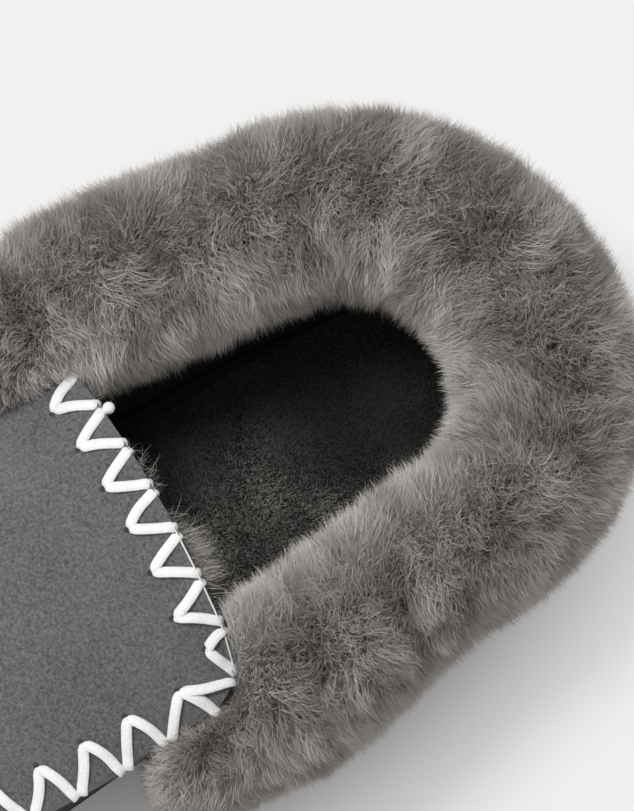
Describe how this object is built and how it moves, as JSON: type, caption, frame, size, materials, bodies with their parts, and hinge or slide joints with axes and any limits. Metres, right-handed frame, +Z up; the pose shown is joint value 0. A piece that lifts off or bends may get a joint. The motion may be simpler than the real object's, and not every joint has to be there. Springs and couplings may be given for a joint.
{
  "type": "moccasin house slipper",
  "caption": "Right-foot moccasin house slipper with a deep fur collar, suede apron with zigzag thread, dark pile lining and a treaded cup sole.",
  "frame": {"origin": "centre of the whole slipper in plan, on the ground under the sole", "axes": "+Z up, +Y towards the heel, -Y towards the toe, +X towards the inner side of the foot"},
  "size_m": [0.148, 0.2772, 0.087],
  "materials": {
    "rubber_sole": "matt moulded rubber",
    "foam": "soft foam",
    "board": "fibre board",
    "suede": "grey suede nap",
    "pile_lining": "near-black short pile",
    "fur": "warm grey long pile",
    "thread": "white waxed flat thread"
  },
  "bodies": {
    "root": {"outsole": "rubber_sole", "midsole": "foam", "insole_board": "board", "footbed_foam": "foam", "footbed_cover": "pile_lining", "vamp": "suede", "quarter_inner": "suede", "quarter_outer": "suede", "heel_counter": "board", "vamp_lining": "pile_lining", "quarter_lining_inner": "pile_lining", "quarter_lining_outer": "pile_lining", "apron": "suede", "apron_lining": "pile_lining", "collar_inner": "fur", "collar_outer": "fur", "throat_thread": "thread", "seam_thread": "thread", "thread_knot": "thread"}
  },
  "joints": []
}
